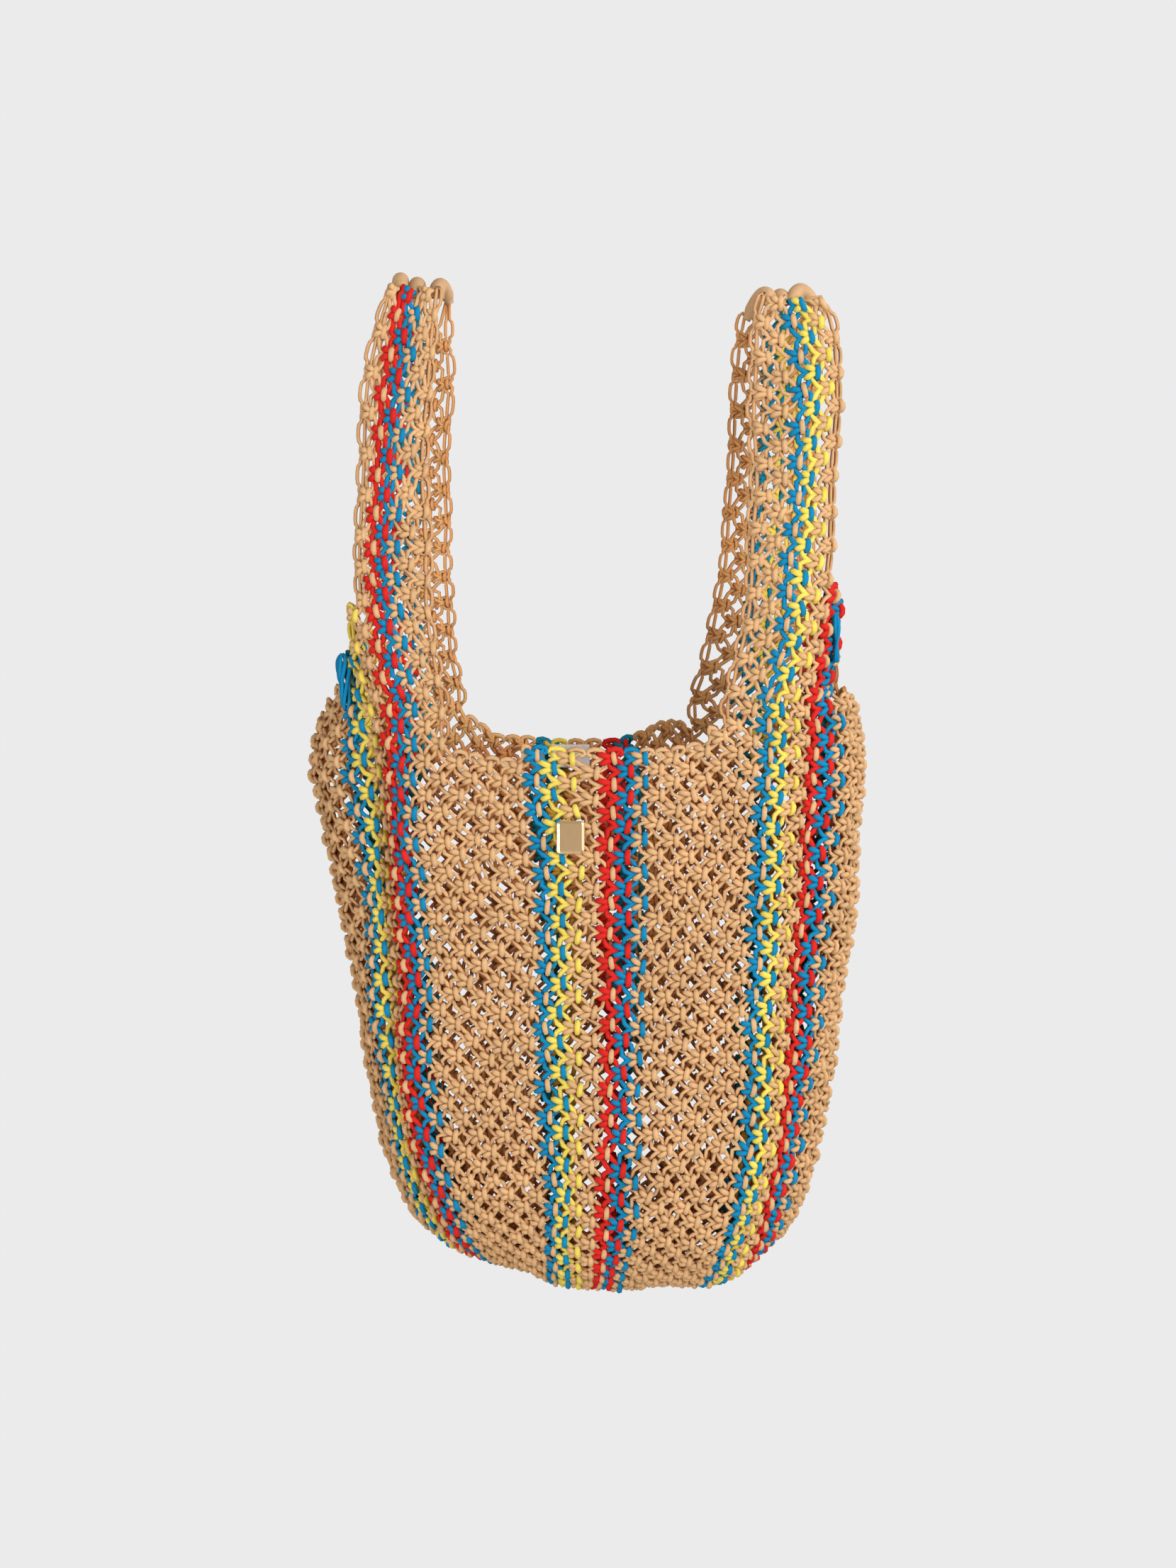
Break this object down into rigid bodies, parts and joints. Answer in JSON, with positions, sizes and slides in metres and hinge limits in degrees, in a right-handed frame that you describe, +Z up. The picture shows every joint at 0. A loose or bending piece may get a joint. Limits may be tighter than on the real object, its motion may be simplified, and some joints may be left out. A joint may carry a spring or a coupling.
{
  "type": "macrame shoulder bag",
  "caption": "Open vest-shaped shoulder bag of knotted cord with coloured stripes, a rounded bottom and two wide straps that end in thread-wrapped crowns.",
  "frame": {"origin": "on the hang line through both strap crowns, midway between the straps", "axes": "+Z up along the hanging bag, +X to the right as seen from the front, -Y towards the front"},
  "size_m": [0.331, 0.1296, 0.6027],
  "materials": {
    "sand_cord": "matte braided cotton cord",
    "blue_cord": "matte braided cotton cord",
    "yellow_cord": "matte braided cotton cord",
    "red_cord": "matte braided cotton cord",
    "wrap_thread": "smooth close-wound thread",
    "gold_plate": "polished pale gold",
    "label_tape": "plain satin tape"
  },
  "bodies": {
    "root": {"body_net": "sand_cord", "strap_left_front": "sand_cord", "strap_left_back": "sand_cord", "strap_right_front": "sand_cord", "strap_right_back": "sand_cord", "crown_left_1": "wrap_thread", "crown_left_2": "wrap_thread", "crown_left_3": "wrap_thread", "crown_right_1": "wrap_thread", "crown_right_2": "wrap_thread", "crown_right_3": "wrap_thread", "wrap_left": "blue_cord", "wrap_right": "blue_cord", "front_plate": "gold_plate", "inner_label": "label_tape"}
  },
  "joints": []
}
